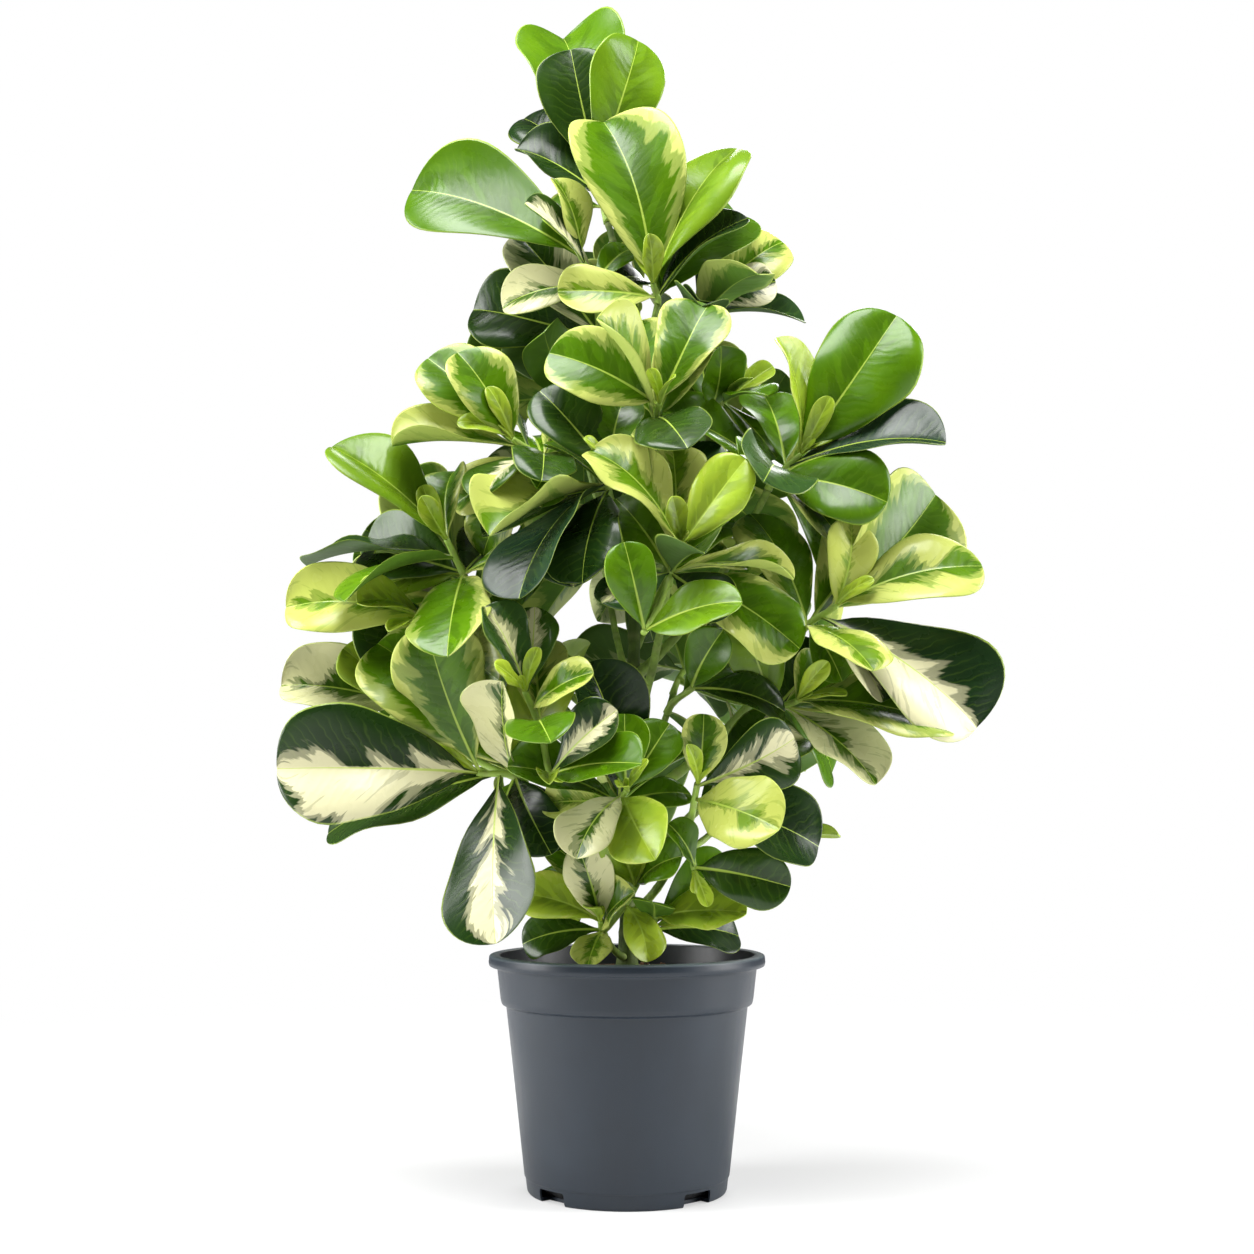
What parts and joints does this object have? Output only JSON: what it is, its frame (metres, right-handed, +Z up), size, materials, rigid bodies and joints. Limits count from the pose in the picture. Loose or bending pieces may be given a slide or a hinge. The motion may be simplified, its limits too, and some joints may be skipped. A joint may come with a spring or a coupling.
{
  "type": "potted variegated clusia",
  "caption": "Bushy upright houseplant with thick paddle leaves, green with cream and yellow edges, on branching stems in a round grey nursery pot with a rolled rim.",
  "frame": {"origin": "middle of the pot's flat underside, on the ground", "axes": "+Z up the plant, -Y the front as pictured, +X to the right as seen from the front"},
  "size_m": [0.6016, 0.4732, 1.0835],
  "materials": {
    "pot_plastic": "matte moulded",
    "potting_soil": "loose damp peat and bark",
    "bark": "smooth brown-green bark",
    "leaves": "waxy"
  },
  "bodies": {
    "root": {"bough_back_1": "bark", "bough_back_2": "bark", "bough_back_3": "bark", "bough_back_4": "bark", "bough_back_5": "bark", "bough_back_6": "bark", "bough_back_7": "bark", "bough_back_8": "bark", "bough_back_9": "bark", "bough_crown_front": "bark", "bough_crown_right": "bark", "bough_foot_left": "bark", "bough_foot_right": "bark", "bough_leader_front": "bark", "bough_leader_left": "bark", "bough_shoulder_front": "bark", "bough_shoulder_left": "bark", "bough_shoulder_right": "bark", "bough_skirt_front": "bark", "bough_skirt_front_left": "bark", "bough_skirt_front_right": "bark", "bough_skirt_left": "bark", "bough_skirt_right": "bark", "bough_upper_right": "bark", "bough_waist_centre": "bark", "bough_waist_front": "bark", "bough_waist_left": "bark", "bough_waist_right": "bark", "mass_back_1": "leaves", "mass_back_2": "leaves", "mass_back_3": "leaves", "mass_back_4": "leaves", "mass_back_5": "leaves", "mass_back_6": "leaves", "mass_back_7": "leaves", "mass_back_8": "leaves", "mass_back_9": "leaves", "mass_crown_front": "leaves", "mass_crown_right": "leaves", "mass_foot_left": "leaves", "mass_foot_right": "leaves", "mass_shoulder_front": "leaves", "mass_shoulder_left": "leaves", "mass_shoulder_right": "leaves", "mass_skirt_front": "leaves", "mass_skirt_front_left": "leaves", "mass_skirt_front_right": "leaves", "mass_skirt_left": "leaves", "mass_skirt_right": "leaves", "mass_top_back": "leaves", "mass_top_front": "leaves", "mass_top_left": "leaves", "mass_upper_right": "leaves", "mass_waist_centre": "leaves", "mass_waist_front": "leaves", "mass_waist_left": "leaves", "mass_waist_right": "leaves", "pot": "pot_plastic", "soil": "potting_soil", "trunk": "bark"}
  },
  "joints": []
}
